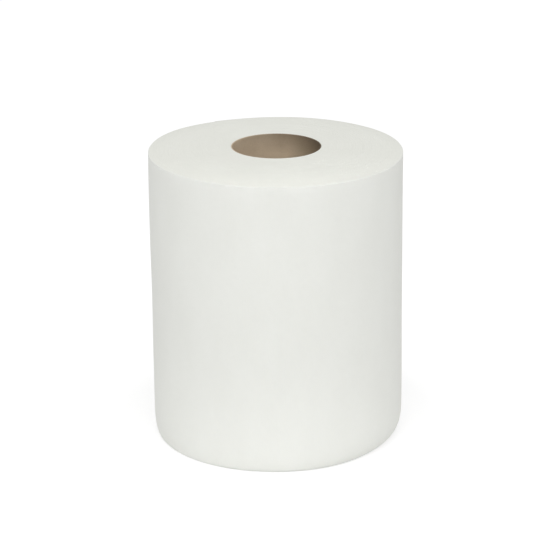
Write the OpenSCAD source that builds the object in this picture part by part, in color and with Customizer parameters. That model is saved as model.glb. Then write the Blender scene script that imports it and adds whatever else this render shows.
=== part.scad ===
// Paper towel roll: one long paper web wound on a cardboard core, standing on its end.
// The roll's axis is Z, its base is at z = 0 and the unit is the millimetre.

/* [View] */
// Sub-part to draw, or all of them

/* [Roll] */
// Diameter of the finished roll
roll_diameter = 192; // [170:1:240]
// Height of the roll, which is the width of the paper web
roll_height = 228; // [120:1:300]
// Thickness of the towel, as wound
towel_thickness = 0.4; // [0.2:0.05:0.8]

/* [Ends] */
// How far the upper rim lies below the middle of the upper end
shoulder_drop = 4; // [0.5:0.1:8]
// How late the upper end begins to fall: a higher number keeps its middle flatter
shoulder_power = 4; // [3:0.5:6]
// How far the foot is drawn in where the roll stands
foot_inset = 5.5; // [1:0.5:8]
// Height over which the foot is drawn in
foot_height = 20; // [2:0.5:30]

/* [Turns] */
// Number of turns drawn on each end
turns_shown = 7; // [4:1:8]
// Width of the line between two turns
line_width = 0.5; // [0.2:0.1:0.8]
// Depth of the line between two turns
line_depth = 1.5; // [1.2:0.1:2.5]
// Plain width left between the core and the first line
inner_land = 2; // [1:0.5:4]
// Plain width left between the last line and the foot
outer_land = 3; // [1:0.5:6]

/* [Free edge] */
// Direction in which the web's free edge lies, counted from the right
edge_direction = 120; // [0:5:355]

/* [Core] */
// Diameter of the hole through the core
core_bore = 66.5; // [40:0.5:76]
// Wall of the core
core_wall = 0.8; // [0.5:0.1:3]
// Depth of the core's ends below the ends of the roll
core_recess = 0.4; // [0.2:0.1:4]

/* [Hidden] */
$fn = 72;
// Number of flat steps that make up the curve of the shoulder and of the foot
curve_steps = 5;
// Length by which a cutting shape runs past the surface that it cuts
overrun = 1;

roll_radius = roll_diameter / 2;

// The outermost turn is a spiral of two half circles. Their centres lie a quarter of
// the towel's thickness to each side of the axis, so they join smoothly on one side.
// On the other side they are one thickness apart, and that step is the free edge.
wrap_shift = towel_thickness / 4;
first_half_radius = roll_radius - 3 * wrap_shift;
second_half_radius = roll_radius - wrap_shift;

// The first turn is glued to the core, so its seat is as wide as the core.
core_radius = core_bore / 2 + core_wall;
core_length = roll_height - 2 * core_recess;

// The lines on the ends are spirals of the same kind, with a wider spacing.
line_start = core_radius + inner_land;
line_end = roll_radius - foot_inset - outer_land;
turn_spacing = (line_end - line_start) / turns_shown;
line_shift = turn_spacing / 4;
// Tangent of the angle between a line's side and the vertical
line_slope = line_width / 2 / line_depth;

// Height of the upper end at a distance from the axis
function upper_end(radius) =
    let (share = (radius - core_radius) / (roll_radius - core_radius))
    roll_height - shoulder_drop * pow(max(0, share), shoulder_power);

// Outline of the roll's side, from the base to the height of the upper end
function side_line(radius) = concat(
    [
        for (step = [0:curve_steps])
            let (angle = 90 * step / curve_steps)
            [radius - foot_inset * (1 - sin(angle)), foot_height * (1 - cos(angle))]
    ],
    [[radius, roll_height]]
);

// Distances of the lines from their own centre, for the half that starts at this distance
function line_radii(start) = [for (turn = [0:turns_shown - 1]) start + turn * turn_spacing];

// Half of the wound web, out to a radius. It starts inside the core's seat.
module half_web(radius) {
    rotate_extrude(angle = 180)
        polygon(concat(
            [[core_radius - overrun, roll_height], [core_radius - overrun, 0]],
            side_line(radius)
        ));
}

// Shape that is cut from the upper end to leave the falling shoulder. Its steps are
// narrower towards the rim, so that each one falls a little more than the one inside it.
module shoulder_cut() {
    reach = roll_radius + overrun;
    rotate_extrude()
        polygon(concat(
            [
                [reach, roll_height + overrun],
                [core_radius - overrun, roll_height + overrun],
                [core_radius - overrun, roll_height]
            ],
            [
                for (step = [0:curve_steps])
                    let (share = pow(step / curve_steps, 2 / shoulder_power))
                    let (radius = core_radius + share * (roll_radius - core_radius))
                    [radius, upper_end(radius)]
            ],
            [[reach, roll_height - shoulder_drop]]
        ));
}

// Comb of narrow wedges. Each one starts at its own top and points down to the depth
// of a line below its own height.
module line_comb(radii, heights, tops) {
    last = len(radii) - 1;
    ceiling = max(tops) + overrun;
    polygon(concat(
        [
            for (i = [0:last])
                let (tip = heights[i] - line_depth, half_width = (tops[i] - tip) * line_slope)
                each [
                    [radii[i] - half_width, tops[i]],
                    [radii[i], tip],
                    [radii[i] + half_width, tops[i]]
                ]
        ],
        [
            [radii[last] + turn_spacing / 2, ceiling],
            [radii[0] - turn_spacing / 2, ceiling]
        ]
    ));
}

// One half of the spiral line between the turns of the upper end. The wedges start
// above the height that the end has one turn further in, so they clear its slope.
module upper_half_line(start) {
    radii = line_radii(start);
    rotate_extrude(angle = 180)
        line_comb(
            radii,
            [for (radius = radii) upper_end(radius)],
            [for (radius = radii) upper_end(radius - turn_spacing) + overrun]
        );
}

// One half of the spiral line between the turns of the base, upside down
module base_half_line(start) {
    radii = line_radii(start);
    rotate_extrude(angle = 180)
        mirror([0, 1])
        line_comb(radii, [for (radius = radii) 0], [for (radius = radii) overrun]);
}

// Both spiral lines. Each second half starts where its first half ends.
module turn_lines() {
    translate([-line_shift, 0, 0]) {
        upper_half_line(line_start + line_shift);
        base_half_line(line_start + line_shift);
    }
    translate([line_shift, 0, 0])
        rotate([0, 0, 180]) {
            upper_half_line(line_start + 3 * line_shift);
            base_half_line(line_start + 3 * line_shift);
        }
}

// Paper of the roll: all turns of the web as one solid, with the lines between them
module paper_roll() {
    color("whitesmoke")
        rotate([0, 0, edge_direction])
        difference() {
            union() {
                translate([-wrap_shift, 0, 0])
                    half_web(first_half_radius);
                translate([wrap_shift, 0, 0])
                    rotate([0, 0, 180])
                    half_web(second_half_radius);
            }
            translate([0, 0, -overrun])
                cylinder(r = core_radius, h = roll_height + 2 * overrun);
            shoulder_cut();
            turn_lines();
        }
}

// Cardboard tube in the middle, a little shorter than the web is wide
module core_tube() {
    color("tan")
        translate([0, 0, core_recess])
        difference() {
            cylinder(r = core_radius, h = core_length);
            translate([0, 0, -overrun])
                cylinder(d = core_bore, h = core_length + 2 * overrun);
        }
}

paper_roll();
core_tube();
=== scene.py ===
"""Paper towel roll: the detailed pieces, their materials, the stage, the lights and the camera."""

import math

import bmesh
import bpy
import numpy as np
from mathutils import Matrix, Vector


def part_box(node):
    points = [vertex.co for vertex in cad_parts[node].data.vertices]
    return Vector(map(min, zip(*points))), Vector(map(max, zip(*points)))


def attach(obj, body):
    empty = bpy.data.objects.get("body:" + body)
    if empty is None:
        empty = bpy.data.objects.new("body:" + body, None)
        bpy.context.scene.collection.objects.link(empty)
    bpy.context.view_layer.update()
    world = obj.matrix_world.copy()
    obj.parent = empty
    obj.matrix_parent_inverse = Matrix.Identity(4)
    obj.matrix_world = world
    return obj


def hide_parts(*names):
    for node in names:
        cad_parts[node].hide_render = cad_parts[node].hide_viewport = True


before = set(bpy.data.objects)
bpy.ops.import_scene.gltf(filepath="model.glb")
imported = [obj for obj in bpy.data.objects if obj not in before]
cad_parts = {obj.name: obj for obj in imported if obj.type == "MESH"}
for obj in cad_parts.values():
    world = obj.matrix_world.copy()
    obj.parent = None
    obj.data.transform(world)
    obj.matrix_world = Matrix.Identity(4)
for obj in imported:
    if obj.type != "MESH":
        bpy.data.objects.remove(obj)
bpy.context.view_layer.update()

TURN = 2 * math.pi

# Sizes that the solids of the frame give, in metres and rounded to whole micrometres
core_low, core_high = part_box("core_tube")
ROLL_HEIGHT = round(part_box("paper_roll")[1][2], 6)
CORE_RADIUS = round(core_high[0], 6)
CORE_RECESS = round(core_low[2], 6)

# What the solids were made with: sizes in metres, a power and the free edge's direction
ROLL_RADIUS = 0.096
TOWEL = 0.0004
SHOULDER_DROP = 0.004
SHOULDER_POWER = 4
FOOT_INSET = 0.0055
FOOT_HEIGHT = 0.020
CORE_WALL = 0.0008
BORE_RADIUS = CORE_RADIUS - CORE_WALL
EDGE_DIRECTION = math.radians(120)

# The web's mesh: columns round the roll, rows up the foot, the side and the rim, and the
# radius of the rim's rounding
COLUMNS = 256
FOOT_ROWS = 12
SIDE_ROWS = 24
RIM_ROWS = 4
RIM_ROUND = 0.0006

# The loose tail: its columns, its lift at the free edge, how late it lifts, and the share and
# the angle, from base to rim, of the wave by which the lift changes
TAIL_COLUMNS = 7
TAIL_ROOT = COLUMNS - TAIL_COLUMNS
TAIL_LIFT = 0.0005
TAIL_CURL = 1.8
TAIL_RIPPLE = 0.25
TAIL_RIPPLE_ANGLE = 9

# The soft roll's unevenness: amplitudes of its slow waves, and the angle by which the side's
# twisted waves turn round the roll from the base to the rim
SIDE_SWELL = 0.00016
SIDE_TWISTED_SWELL = 0.00010
SIDE_TWIST = 2.5
FOOT_RIPPLE = 0.0002
RIM_RIPPLE = 0.00012

# Its single bulges: direction in degrees from the right, spread in radians, and size. The side's
# two grow or fade between two shares of the roll's height.
UPPER_LEFT_BULGE = (180, 0.7, 0.0009)
UPPER_LEFT_LEVELS = (0.40, 0.70)
LOWER_RIGHT_BULGE = (0, 0.7, 0.0009)
LOWER_RIGHT_LEVELS = (0.15, 0.75)
RIM_BULGES = ((150, 0.4, 0.0007), (25, 0.4, 0.0004), (98, 0.5, -0.0005))
FOOT_TUCK = (-30, 0.5, 0.0033)

# The foot's inset: a little less all round, and then more towards one direction
FOOT_EASE = 0.0004
FOOT_LEAN = 0.0013
FOOT_LEAN_DIRECTION = math.radians(6)

# Fine turns on the upper end: their width, rows across each, the depth of the groove beside it
# and how much that changes within a range, its crown as a share of the depth, and how far it is
# out of line
TOP_TURN = 0.0012
TOP_SAMPLES = 4
TOP_GROOVE = 0.00006
TOP_GROOVE_CHANGE = 0.00005
TOP_GROOVE_RANGE = (-1, 1.6)
TOP_CROWN = 0.35
TOP_LOOSENESS = 0.00007

# Fine turns on the base: their width, rows across each, the groove's depth and its change as a share
BASE_TURN = 0.0024
BASE_SAMPLES = 3
BASE_GROOVE = 0.00022
BASE_GROOVE_SHARE = 0.4

# Widths over which the fine turns fade out, the rounded lip of the hole in the paper, and the
# height of the narrow rows at both ends of its wall
EDGE_FADE = 0.0015
CORE_FADE = 0.001
LIP_ROUND = 0.0004
LIP_WIDTH = 0.0012
SEAT_GUARD = 0.003

# The core's mesh: its columns, the bevel of its ends, rows near each end and a band without a gap
CORE_COLUMNS = 160
CORE_BEVEL = 0.00025
CORE_END_ROWS = (CORE_BEVEL, 0.0006, 0.0012)
CORE_END_BAND = 0.0018

# Gap between windings of the core's inner ply: its rise in a turn, its height on the right,
# its depth, and the height over which it fades out near the ends
PLY_LEAD = 0.104
GAP_START = 0.137
GAP_DEPTH = 0.00022
GAP_FADE = 0.005

# Rows of one winding, in the gap and between gaps: height above the gap's lower border, and
# share of the gap's depth
GAP_ROWS = ((-0.0005, 0), (0.0, 0), (0.00025, 1), (0.00075, 1), (0.0010, 0), (0.0015, 0))
PLY_ROWS = tuple((0.014 + 0.018 * row, 0) for row in range(5))

# Tones in linear red, green and blue. A ramp gives each one its place.
SIDE_TONES = (
    (0.30, (0.855, 0.863, 0.820)),
    (0.55, (0.867, 0.875, 0.833)),
    (0.75, (0.875, 0.883, 0.843)),
)
END_TONES = (
    (0.30, (0.869, 0.876, 0.818)),
    (0.55, (0.879, 0.886, 0.829)),
    (0.75, (0.887, 0.894, 0.839)),
)
BOARD_TONES = (
    (0.30, (0.58, 0.470, 0.340)),
    (0.50, (0.67, 0.550, 0.407)),
    (0.72, (0.74, 0.620, 0.469)),
)

# Tints, by which a tone is multiplied
# Painted shade in the valleys of the crepe
CREPE_VALLEY_SHADE_TINT = (0.93, 0.93, 0.91)
# Painted shade in the grooves between the turns on the ends
GROOVE_SHADE_TINT = (0.90, 0.90, 0.87)
SPECK_TINT = (0.55, 0.48, 0.40)
# Painted shade on the tube's right side
PAINTED_SHADE_RIGHT_TINT = (0.44, 0.428, 0.39)
# Painted shade near both ends of the tube, less on the left, and how far it reaches
END_SHADE_TINT = (0.44, 0.42, 0.40)
END_SHADE_REACH = 0.016

# Stage: the floor's size, its tone for light and as seen, its glow's strengths at two distances
# from the axis, and the world's light
FLOOR_SIZE = 12.0
FLOOR_TONE = 0.93
FLOOR_TONE_SEEN = 0.40
GLOW_RADII = (0.125, 0.185)
GLOW_STRENGTHS = (0.67, 0.75)
WORLD_LIGHT = 0.65
WHITE = (1, 1, 1, 1)

# Lamps: place, target, size across and up, power in watts and width of the beam in degrees
LAMPS = {
    "key": ((-0.03, -1.24, 1.63), (0, 0, 0.15), (0.9, 0.6), 11.4, 180),
    "low_front": ((0, -1.1, 0.03), (0, 0, 0), (1.2, 0.03), 0.027, 10),
    "top_front": ((0, -0.25, 1.30), (0, -0.16, 0.228), (0.24, 0.06), 0.016, 12),
}

# The photograph's camera: its place in metres, its turn in radians and its lens
CAMERA_BACK = 18.76595 * ROLL_RADIUS
CAMERA_HEIGHT = 7.80157 * ROLL_RADIUS
CAMERA_YAW, CAMERA_PITCH, CAMERA_ROLL = 0.00139, -0.33564, -0.00383
FOCAL_PIXELS = 2485.815
PHOTO_PIXELS = 560
SENSOR_WIDTH = 36.0

# Places of the paper's two materials on its mesh, and how close points become one
SIDE, END = 0, 1
MERGE_DISTANCE = 2e-6


# Helpers for meshes


def make_object(name, verts, faces, kinds=None):
    """A smooth-shaded mesh object. Points that all but meet become one, and faces without area go."""
    mesh = bpy.data.meshes.new(name)
    mesh.from_pydata([tuple(v) for v in verts], [], faces)
    if kinds:
        mesh.polygons.foreach_set("material_index", kinds)
    shape = bmesh.new()
    shape.from_mesh(mesh)
    bmesh.ops.remove_doubles(shape, verts=shape.verts, dist=MERGE_DISTANCE)
    bmesh.ops.dissolve_degenerate(shape, edges=shape.edges, dist=MERGE_DISTANCE)
    bmesh.ops.recalc_face_normals(shape, faces=shape.faces)
    shape.to_mesh(mesh)
    shape.free()
    for polygon in mesh.polygons:
        polygon.use_smooth = True
    obj = bpy.data.objects.new(name, mesh)
    bpy.context.scene.collection.objects.link(obj)
    return obj


def column_of_points(angle, radius, height):
    """Points at one angle round the axis, at the given radii and heights."""
    radius, height = np.broadcast_arrays(radius, height)
    return np.column_stack((radius * math.cos(angle), radius * math.sin(angle), height))


def add_columns(verts, columns):
    """Adds columns of points and returns the place of the first point of each."""
    places = []
    for column in columns:
        places.append(len(verts))
        verts.extend(column)
    return places


def join_columns(faces, places, count, closed=False):
    """Joins neighbouring columns of so many points. A closed column runs round to its start."""
    for a, b in zip(places[:-1], places[1:]):
        for i in range(count if closed else count - 1):
            j = (i + 1) % count
            faces.append((a + i, b + i, b + j, a + j))


def waves(x, seed, count, first):
    """Smooth noise about -1 to 1 that repeats when x, in radians, grows by a whole turn."""
    rng = np.random.RandomState(seed)
    total = np.zeros_like(np.asarray(x, float))
    for k in range(first, first + count):
        total = total + rng.normal(0, 1) * np.cos(k * x + rng.uniform(0, TURN)) / math.sqrt(count)
    return total


def wander(x, seed, lengths):
    """Smooth noise about -1 to 1 along x, made of waves of the given lengths."""
    rng = np.random.RandomState(seed)
    total = np.zeros_like(np.asarray(x, float))
    for length in lengths:
        total = total + np.cos(TURN * x / length + rng.uniform(0, TURN)) / math.sqrt(len(lengths))
    return total


def smooth_step(x, start, end):
    """0 up to the start, 1 from the end on, and a smooth rise between them."""
    share = np.clip((x - start) / (end - start), 0, 1)
    return share * share * (3 - 2 * share)


def bulge(angle, centre, spread, size):
    """The size at one angle, the centre in degrees, falling to 0 on both sides of it."""
    away = np.mod(angle - math.radians(centre) + math.pi, TURN) - math.pi
    return size * np.exp(-(away / spread) ** 2)


# Shape of the wound web


def column_angle(c):
    """Angle of a column of the web, in radians from the right. The first is at the free edge."""
    return TURN * c / COLUMNS + EDGE_DIRECTION


def wrap_radius(c):
    """Radius of the outermost turn, which grows by one towel's thickness in a whole turn."""
    return ROLL_RADIUS - TOWEL * (1 - c / COLUMNS)


def firm_radius(c):
    """Radius of the outermost turn, or of the one beneath it where the tail is loose."""
    return wrap_radius(c) - (TOWEL if c > TAIL_ROOT else 0)


def tail_lift(c, height):
    """How far the loose tail stands off the turn beneath it."""
    share = max(0, c - TAIL_ROOT) / TAIL_COLUMNS
    ripple = 1 + TAIL_RIPPLE * np.sin(height / ROLL_HEIGHT * TAIL_RIPPLE_ANGLE + 1)
    return TAIL_LIFT * share ** TAIL_CURL * ripple


def soft_side(angle, height):
    """How far the side stands out from its plain shape where the soft roll gives way."""
    level = height / ROLL_HEIGHT
    swell = SIDE_SWELL * waves(angle, seed=3, count=3, first=2)
    twisted = SIDE_TWISTED_SWELL * waves(angle + SIDE_TWIST * level, seed=5, count=4, first=3)
    upper_left = bulge(angle, *UPPER_LEFT_BULGE) * smooth_step(level, *UPPER_LEFT_LEVELS)
    lower_right = bulge(angle, *LOWER_RIGHT_BULGE) * (1 - smooth_step(level, *LOWER_RIGHT_LEVELS))
    return swell + twisted + upper_left + lower_right


def foot_inset(angle):
    """How far the foot is drawn in: most at the front right and least at the left."""
    lean = FOOT_LEAN * np.cos(angle - FOOT_LEAN_DIRECTION) + bulge(angle, *FOOT_TUCK)
    return FOOT_INSET - FOOT_EASE + lean + FOOT_RIPPLE * waves(angle, seed=11, count=4, first=2)


def rim_level(angle):
    """Height of the upper end's rim, which wanders a little round the roll."""
    uneven = sum(bulge(angle, *place) for place in RIM_BULGES)
    return ROLL_HEIGHT - SHOULDER_DROP + uneven + RIM_RIPPLE * waves(angle, seed=21, count=5, first=1)


def side_profile():
    """Shares for the rows of the side, from the base up: first of the insets of the foot and the rim,
    then of the heights of the foot, the straight side and the rim."""
    rows = [(1 - math.sin(a), 0, 1 - math.cos(a), 0, 0) for a in np.linspace(0, TURN / 4, FOOT_ROWS + 1)]
    rows += [(0, 0, 1, share, 0) for share in np.linspace(0, 1, SIDE_ROWS + 1)[1:]]
    rows += [(0, 1 - math.cos(a), 1, 1, math.sin(a)) for a in np.linspace(0, TURN / 4, RIM_ROWS + 1)[1:]]
    return np.array(rows).T


def side_column(c, profile, beneath, lifted):
    """A column of the side, on the outermost turn or beneath it, and lifted with the tail or flat."""
    foot_in, rim_in, foot_up, side_up, rim_up = profile
    angle = column_angle(c)
    straight = rim_level(angle) - RIM_ROUND - FOOT_HEIGHT
    height = FOOT_HEIGHT * foot_up + straight * side_up + RIM_ROUND * rim_up
    turn = wrap_radius(c) - (TOWEL if beneath else 0)
    radius = turn - foot_in * foot_inset(angle) - rim_in * RIM_ROUND + soft_side(angle, height)
    if lifted:
        radius = radius * (1 + tail_lift(c, height) / turn)
    return column_of_points(angle, radius, height)


def add_side(verts, faces):
    """Adds the side, which follows the web: round the roll to the free edge, back under the loose
    tail to its root, and then along the turn that lies beneath it."""
    profile = side_profile()
    rows = len(profile[0])

    def add(columns, beneath, lifted):
        return add_columns(verts, [side_column(c, profile, beneath, lifted) for c in columns])

    outer = add(range(COLUMNS + 1), beneath=False, lifted=True)
    inner = add(range(COLUMNS, TAIL_ROOT, -1), beneath=True, lifted=True)
    under = add(range(TAIL_ROOT, COLUMNS + 1), beneath=True, lifted=False)
    join_columns(faces, outer + inner + under, rows)

    # The tail's lower and upper edge, and the sliver at its root where an end of the roll
    # steps from the outermost turn to the one beneath it
    tail_face = outer[TAIL_ROOT:]
    tail_back = under[:1] + inner[::-1]
    for k in (0, rows - 1):
        for i in range(TAIL_COLUMNS):
            faces.append((tail_face[i] + k, tail_face[i + 1] + k, tail_back[i + 1] + k, tail_back[i] + k))
        faces.append((tail_face[0] + k, under[0] + k, under[1] + k))


def end_fade(radius, edge):
    """1 on an end of the roll, falling to 0 where it meets the core and the edge."""
    return smooth_step(edge - radius, 0, EDGE_FADE) * smooth_step(radius - CORE_RADIUS, 0, CORE_FADE)


def top_edge(c):
    """Radius of the upper end, up to the rounding of the rim."""
    angle = column_angle(c)
    return firm_radius(c) - RIM_ROUND + soft_side(angle, rim_level(angle))


def top_height(c, radius, sample, along):
    """Height of the upper end, which falls to the rim and has a groove beside each fine turn."""
    rim = top_edge(c)
    share = (radius - CORE_RADIUS) / (rim - CORE_RADIUS)
    uneven = rim_level(column_angle(c)) - (ROLL_HEIGHT - SHOULDER_DROP)
    height = ROLL_HEIGHT - SHOULDER_DROP * share ** SHOULDER_POWER + uneven * share ** 2
    change = np.clip(wander(along, seed=31, lengths=(1.7, 2.9, 6.1)), *TOP_GROOVE_RANGE)
    deep = TOP_GROOVE + TOP_GROOVE_CHANGE * change
    groove = np.where(sample == 0, 1.0, np.where(sample == TOP_SAMPLES // 2, -TOP_CROWN, 0.0))
    loose = TOP_LOOSENESS * wander(along, seed=37, lengths=(2.3, 5.3, 11.0, 17.0))
    lip = LIP_ROUND * (1 - smooth_step(radius - CORE_RADIUS, 0, LIP_WIDTH)) ** 2
    return height - end_fade(radius, rim) * (deep * groove - loose) - lip


def base_edge(c):
    """Radius of the base, inside the foot's inset."""
    angle = column_angle(c)
    return firm_radius(c) - foot_inset(angle) + soft_side(angle, 0.0)


def base_height(c, radius, sample, along):
    """Height of the base, which is flat but for a groove beside each fine turn."""
    groove = np.where(sample == 0, BASE_GROOVE, 0.0)
    change = 1 + BASE_GROOVE_SHARE * wander(along, seed=41, lengths=(1.9, 4.3))
    return end_fade(radius, base_edge(c)) * groove * change


def add_end(verts, faces, width, samples, edge_at, height_at):
    """Adds an end of the roll as one spiral of fine turns, of so many rows each, out to an edge."""
    step = width / samples

    # The spiral runs on past the core and past the edge, and is cut off at both
    rows = np.arange(-samples - 1, math.ceil((ROLL_RADIUS - CORE_RADIUS) / step) + 2)
    columns = []
    for c in range(COLUMNS + 1):
        radius = CORE_RADIUS + (rows + samples * c / COLUMNS) * step
        radius = np.clip(radius, CORE_RADIUS, edge_at(c))
        height = height_at(c, radius, rows % samples, rows // samples + c / COLUMNS)
        columns.append(column_of_points(column_angle(c), radius, height))
    join_columns(faces, add_columns(verts, columns), len(rows))


def add_seat(verts, faces):
    """Adds the wall of the hole in the paper, in which the core sits."""
    heights = (0, SEAT_GUARD, ROLL_HEIGHT - SEAT_GUARD, ROLL_HEIGHT - LIP_ROUND)
    columns = [column_of_points(column_angle(c), CORE_RADIUS, heights) for c in range(COLUMNS + 1)]
    join_columns(faces, add_columns(verts, columns), len(heights))


def build_roll():
    """The wound web as one closed mesh: its side, both of its ends and the seat of the core."""
    verts, faces = [], []
    add_side(verts, faces)
    kinds = [SIDE] * len(faces)
    add_end(verts, faces, TOP_TURN, TOP_SAMPLES, top_edge, top_height)
    add_end(verts, faces, BASE_TURN, BASE_SAMPLES, base_edge, base_height)
    kinds += [END] * (len(faces) - len(kinds))
    add_seat(verts, faces)
    kinds += [SIDE] * (len(faces) - len(kinds))
    return make_object("towel_web", verts, faces, kinds)


# Shape of the core


def core_column(c):
    """A column of the core's tube: up the bore, with the gap in it, and down the outside."""
    low, high = CORE_RECESS, ROLL_HEIGHT - CORE_RECESS
    windings = math.ceil(ROLL_HEIGHT / PLY_LEAD)
    column = [(low, BORE_RADIUS + CORE_BEVEL)]
    column += [(low + step, BORE_RADIUS) for step in CORE_END_ROWS]
    for winding in range(-windings, windings):
        for above, share in GAP_ROWS + PLY_ROWS:
            z = GAP_START + winding * PLY_LEAD + above + PLY_LEAD * c / CORE_COLUMNS
            from_band = min(z - low, high - z) - CORE_END_BAND
            depth = GAP_DEPTH * share * smooth_step(from_band, 0, GAP_FADE)
            z = min(max(z, low + CORE_END_BAND), high - CORE_END_BAND)
            column.append((z, BORE_RADIUS + depth))
    column += [(high - step, BORE_RADIUS) for step in reversed(CORE_END_ROWS)]
    column += [
        (high, BORE_RADIUS + CORE_BEVEL),
        (high, CORE_RADIUS - CORE_BEVEL),
        (high - CORE_BEVEL, CORE_RADIUS),
        (low + CORE_BEVEL, CORE_RADIUS),
        (low, CORE_RADIUS - CORE_BEVEL),
    ]
    height, radius = np.array(column).T
    return column_of_points(TURN * c / CORE_COLUMNS, radius, height)


def build_core():
    """The core's tube, with the shallow helical gap between the windings of its inner ply."""
    verts, faces = [], []
    columns = [core_column(c) for c in range(CORE_COLUMNS + 1)]
    join_columns(faces, add_columns(verts, columns), len(columns[0]), closed=True)
    return make_object("core_board_tube", verts, faces)


# Helpers for materials


def node(tree, kind, inputs, **settings):
    """A new node with these settings. An input, by name or number, is another node's output or a value."""
    made = tree.nodes.new(kind)
    for name, value in settings.items():
        setattr(made, name, value)
    for name, value in inputs.items():
        if isinstance(value, bpy.types.NodeSocket):
            tree.links.new(value, made.inputs[name])
        else:
            made.inputs[name].default_value = value
    return made


def math_node(tree, operation, *values, clamp=False):
    """Output of a calculation with one or two values."""
    inputs = dict(enumerate(values))
    return node(tree, "ShaderNodeMath", inputs, operation=operation, use_clamp=clamp).outputs[0]


def slope(tree, value, start, gain):
    """How far the value is past the start, times the gain, and kept between 0 and 1."""
    return math_node(tree, "MULTIPLY", math_node(tree, "SUBTRACT", value, start), gain, clamp=True)


def weighted(tree, a, share_a, b, share_b):
    """Sum of two values, each times its own share."""
    first = math_node(tree, "MULTIPLY", a, share_a)
    second = math_node(tree, "MULTIPLY", b, share_b)
    return math_node(tree, "ADD", first, second)


def noise(tree, place, scale, detail, rough, upright=1.0):
    """Noise from 0 to 1. Below 1, upright draws it out along the roll's axis, and above 1 round it."""
    if upright != 1.0:
        inputs = {"Vector": place, "Scale": (1.0, 1.0, upright)}
        place = node(tree, "ShaderNodeMapping", inputs).outputs["Vector"]
    inputs = {"Vector": place, "Scale": scale, "Detail": detail, "Roughness": rough}
    return node(tree, "ShaderNodeTexNoise", inputs).outputs["Fac"]


def ramp(tree, value, tones):
    """The tone at the value's place between tones."""
    made = node(tree, "ShaderNodeValToRGB", {"Fac": value})
    elements = made.color_ramp.elements
    for element, (place, tone) in zip(elements, (tones[0], tones[-1])):
        element.position = place
        element.color = (*tone, 1)
    for place, tone in tones[1:-1]:
        elements.new(place).color = (*tone, 1)
    return made.outputs["Color"]


def tinted(tree, colour, share, tint):
    """The colour, multiplied by a tint where the share is 1 and left alone where it is 0."""
    inputs = {"Factor": share, "A": colour, "B": (*tint, 1)}
    mix = node(tree, "ShaderNodeMix", inputs, data_type="RGBA", blend_type="MULTIPLY")
    return mix.outputs["Result"]


def separated(tree, place):
    """The three coordinates of a place."""
    return node(tree, "ShaderNodeSeparateXYZ", {0: place}).outputs


def around_the_axis(tree, place):
    """Share of a whole turn round the axis, and distance from it."""
    x, y, _ = separated(tree, place)
    squares = math_node(tree, "ADD", math_node(tree, "MULTIPLY", x, x), math_node(tree, "MULTIPLY", y, y))
    turns = math_node(tree, "DIVIDE", math_node(tree, "ARCTAN2", y, x), TURN)
    return turns, math_node(tree, "SQRT", squares)


def new_material(name):
    """A new material, its tree, and the output that gives the place of a point on the object."""
    material = bpy.data.materials.new(name)
    material.use_nodes = True
    tree = material.node_tree
    tree.nodes.clear()
    return material, tree, tree.nodes.new("ShaderNodeTexCoord").outputs["Object"]


def finish_material(tree, surface, bump=None):
    """Gives the shader its bump, where there is one, and links it to the material's output.
    A bump is a height, a strength and a distance."""
    if bump:
        height, strength, distance = bump
        inputs = {"Height": height, "Strength": strength, "Distance": distance}
        normal = node(tree, "ShaderNodeBump", inputs).outputs["Normal"]
        tree.links.new(normal, surface.inputs["Normal"])
    node(tree, "ShaderNodeOutputMaterial", {"Surface": surface.outputs[0]})


# Materials


def paper_shader(tree, colour):
    """Shader of soft matt paper."""
    inputs = {
        "Base Color": colour,
        "Roughness": 0.92,
        "Specular IOR Level": 0.22,
        "Sheen Weight": 0.06,
        "Sheen Roughness": 0.6,
    }
    return node(tree, "ShaderNodeBsdfPrincipled", inputs)


def paper_fibre(tree, place):
    """Fine noise of the paper's loose fibres."""
    return noise(tree, place, scale=5200, detail=2, rough=0.6)


def side_paper():
    """The towel's face: fine crepe ridges across the web, with painted shade in their valleys, loose
    fibres and a slow cloudiness.
    """
    material, tree, place = new_material("towel_face")
    crepe = noise(tree, place, scale=1500, detail=2, rough=0.55, upright=0.16)
    cloud = noise(tree, place, scale=42, detail=3, rough=0.55, upright=0.5)
    # Painted shade in the crepe's valleys, where its bump is lowest
    painted_valley_shade = slope(tree, crepe, start=0.62, gain=-0.35)
    colour = tinted(tree, ramp(tree, cloud, SIDE_TONES), painted_valley_shade, CREPE_VALLEY_SHADE_TINT)
    height = weighted(tree, crepe, 0.8, paper_fibre(tree, place), 0.35)
    finish_material(tree, paper_shader(tree, colour), bump=(height, 0.35, 0.00012))
    return material


def end_paper():
    """Cut edges of the turns: the radius less the angle's share gives one wave for each turn."""
    material, tree, place = new_material("towel_cut_edges")
    turns, radius = around_the_axis(tree, place)
    spiral = math_node(tree, "SUBTRACT", math_node(tree, "DIVIDE", radius, TOWEL), turns)
    drift = math_node(tree, "MULTIPLY", noise(tree, place, scale=60, detail=2, rough=0.5), 1.6)
    drifting = math_node(tree, "ADD", spiral, drift)
    wave = math_node(tree, "SINE", math_node(tree, "MULTIPLY", drifting, TURN))
    cloud = noise(tree, place, scale=36, detail=3, rough=0.55)
    # Painted shade in the grooves between turns, where the wave is low
    between = slope(tree, wave, start=1.0, gain=-0.12)
    colour = tinted(tree, ramp(tree, cloud, END_TONES), between, GROOVE_SHADE_TINT)
    height = weighted(tree, wave, 0.5, paper_fibre(tree, place), 0.7)
    finish_material(tree, paper_shader(tree, colour), bump=(height, 0.35, 0.00012))
    return material


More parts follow.
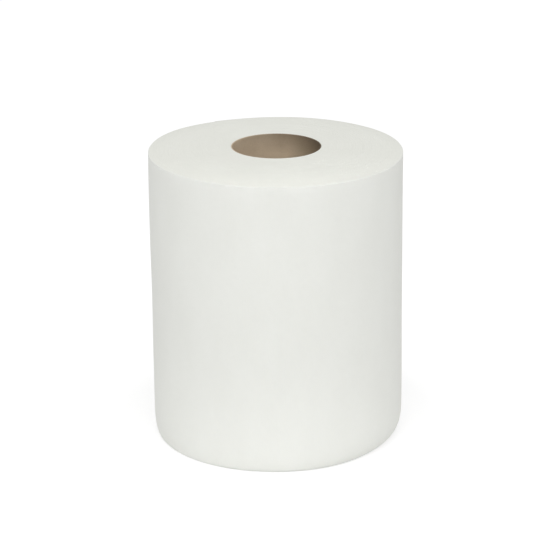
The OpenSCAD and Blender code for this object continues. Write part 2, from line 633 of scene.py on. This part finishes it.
def core_board():
    """Grey-brown board: mottled, with fibres that run round it and dark specks, with painted shade on its
    right side and at its darker ends.
    """
    material, tree, place = new_material("core_board")
    mottle = noise(tree, place, scale=55, detail=4, rough=0.6)
    fibre = noise(tree, place, scale=650, detail=4, rough=0.7, upright=3.5)
    speck = noise(tree, place, scale=1500, detail=2, rough=0.5)
    colour = ramp(tree, weighted(tree, mottle, 0.55, fibre, 0.45), BOARD_TONES)
    specks = math_node(tree, "MULTIPLY", math_node(tree, "GREATER_THAN", speck, 0.68), 0.35)
    colour = tinted(tree, colour, specks, SPECK_TINT)

    # Painted shade on the right side of the tube, with a soft uneven border
    x, _, z = separated(tree, place)
    across = math_node(tree, "DIVIDE", x, BORE_RADIUS)
    shade_border_wobble = math_node(tree, "MULTIPLY", math_node(tree, "SUBTRACT", mottle, 0.5), 0.5)
    painted_right_shade = slope(tree, math_node(tree, "ADD", across, shade_border_wobble), start=0.25, gain=1.4)
    colour = tinted(tree, colour, painted_right_shade, PAINTED_SHADE_RIGHT_TINT)

    # Painted shade darkens both ends alike, and least on the left, where the bore is painted as lit
    from_middle = math_node(tree, "ABSOLUTE", math_node(tree, "SUBTRACT", z, ROLL_HEIGHT / 2))
    near_end = slope(tree, from_middle, start=ROLL_HEIGHT / 2 - END_SHADE_REACH, gain=1 / END_SHADE_REACH)
    shade_less_on_left = slope(tree, across, start=-1.0, gain=0.9)
    colour = tinted(tree, colour, math_node(tree, "MULTIPLY", near_end, shade_less_on_left), END_SHADE_TINT)

    rough = math_node(tree, "ADD", math_node(tree, "MULTIPLY", mottle, 0.12), 0.74)
    inputs = {"Base Color": colour, "Roughness": rough, "Specular IOR Level": 0.3}
    shader = node(tree, "ShaderNodeBsdfPrincipled", inputs)
    finish_material(tree, shader, bump=(fibre, 0.3, 0.0001))
    return material


# Stage, lights and camera


def seen_directly(tree):
    """1 for camera, glossy and transmission rays, 0 for the light that other surfaces send."""
    path = tree.nodes.new("ShaderNodeLightPath").outputs
    total = math_node(tree, "ADD", path["Is Camera Ray"], path["Is Glossy Ray"])
    return math_node(tree, "ADD", total, path["Is Transmission Ray"], clamp=True)


def build_floor():
    """White floor. Its glow makes it white for the camera alone and leaves the shadow at the foot."""
    reach = FLOOR_SIZE / 2
    corners = [(-reach, -reach, 0), (reach, -reach, 0), (reach, reach, 0), (-reach, reach, 0)]
    mesh = bpy.data.meshes.new("floor")
    mesh.from_pydata(corners, [], [(0, 1, 2, 3)])
    floor = bpy.data.objects.new("floor", mesh)
    bpy.context.scene.collection.objects.link(floor)
    material, tree, place = new_material("floor_white")
    seen = seen_directly(tree)
    inputs = {
        "Value": around_the_axis(tree, place)[1],
        "From Min": GLOW_RADII[0],
        "From Max": GLOW_RADII[1],
        "To Min": GLOW_STRENGTHS[0],
        "To Max": GLOW_STRENGTHS[1],
    }
    away = node(tree, "ShaderNodeMapRange", inputs, interpolation_type="SMOOTHSTEP")
    strength = math_node(tree, "MULTIPLY", seen, away.outputs["Result"])
    glow = node(tree, "ShaderNodeEmission", {"Color": WHITE, "Strength": strength})
    less = math_node(tree, "MULTIPLY", seen, FLOOR_TONE - FLOOR_TONE_SEEN)
    plain = node(tree, "ShaderNodeBsdfDiffuse", {"Color": math_node(tree, "SUBTRACT", FLOOR_TONE, less)})
    finish_material(tree, node(tree, "ShaderNodeAddShader", {0: plain.outputs[0], 1: glow.outputs[0]}))
    mesh.materials.append(material)


def build_world():
    """Even light from all sides, under which a colour shows about as written."""
    world = bpy.data.worlds.new("studio")
    bpy.context.scene.world = world
    world.use_nodes = True
    tree = world.node_tree
    tree.nodes.clear()
    light = node(tree, "ShaderNodeBackground", {"Color": WHITE, "Strength": WORLD_LIGHT})
    white = node(tree, "ShaderNodeBackground", {"Color": WHITE, "Strength": 1.0})
    inputs = {0: seen_directly(tree), 1: light.outputs[0], 2: white.outputs[0]}
    mix = node(tree, "ShaderNodeMixShader", inputs)
    node(tree, "ShaderNodeOutputWorld", {"Surface": mix.outputs[0]})


def area_light(name, place, target, size, power, spread):
    """A rectangular lamp that faces its target."""
    light = bpy.data.lights.new(name, "AREA")
    light.spread = math.radians(spread)
    light.shape = "RECTANGLE"
    light.size, light.size_y = size
    light.energy = power
    obj = bpy.data.objects.new(name, light)
    obj.location = place
    obj.rotation_mode = "QUATERNION"
    obj.rotation_quaternion = (Vector(target) - Vector(place)).to_track_quat("-Z", "Y")
    bpy.context.scene.collection.objects.link(obj)


def build_camera():
    """The photograph's view, found from the outlines of the roll and of its hole."""
    level = math.cos(CAMERA_PITCH)
    ahead, aside = math.cos(CAMERA_YAW) * level, math.sin(CAMERA_YAW) * level
    forward = Vector((aside, ahead, math.sin(CAMERA_PITCH)))
    right = forward.cross(Vector((0, 0, 1))).normalized()
    up = right.cross(forward)
    turned_right = right * math.cos(CAMERA_ROLL) + up * math.sin(CAMERA_ROLL)
    turned_up = up * math.cos(CAMERA_ROLL) - right * math.sin(CAMERA_ROLL)
    data = bpy.data.cameras.new("camera")
    data.sensor_width = SENSOR_WIDTH
    data.lens = FOCAL_PIXELS / PHOTO_PIXELS * SENSOR_WIDTH
    data.clip_start, data.clip_end = 0.05, 50
    camera = bpy.data.objects.new("camera", data)
    turn = Matrix((turned_right, turned_up, -forward)).transposed()
    camera.matrix_world = Matrix.Translation((0, -CAMERA_BACK, CAMERA_HEIGHT)) @ turn.to_4x4()
    bpy.context.scene.collection.objects.link(camera)
    bpy.context.scene.camera = camera


build_camera()
build_world()
build_floor()
for name, lamp in LAMPS.items():
    area_light(name, *lamp)

web = build_roll()
web.data.materials.append(side_paper())
web.data.materials.append(end_paper())
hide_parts("paper_roll")
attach(web, "root")

core = build_core()
core.data.materials.append(core_board())
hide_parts("core_tube")
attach(core, "root")

settings = bpy.context.scene.view_settings
settings.view_transform = "Standard"
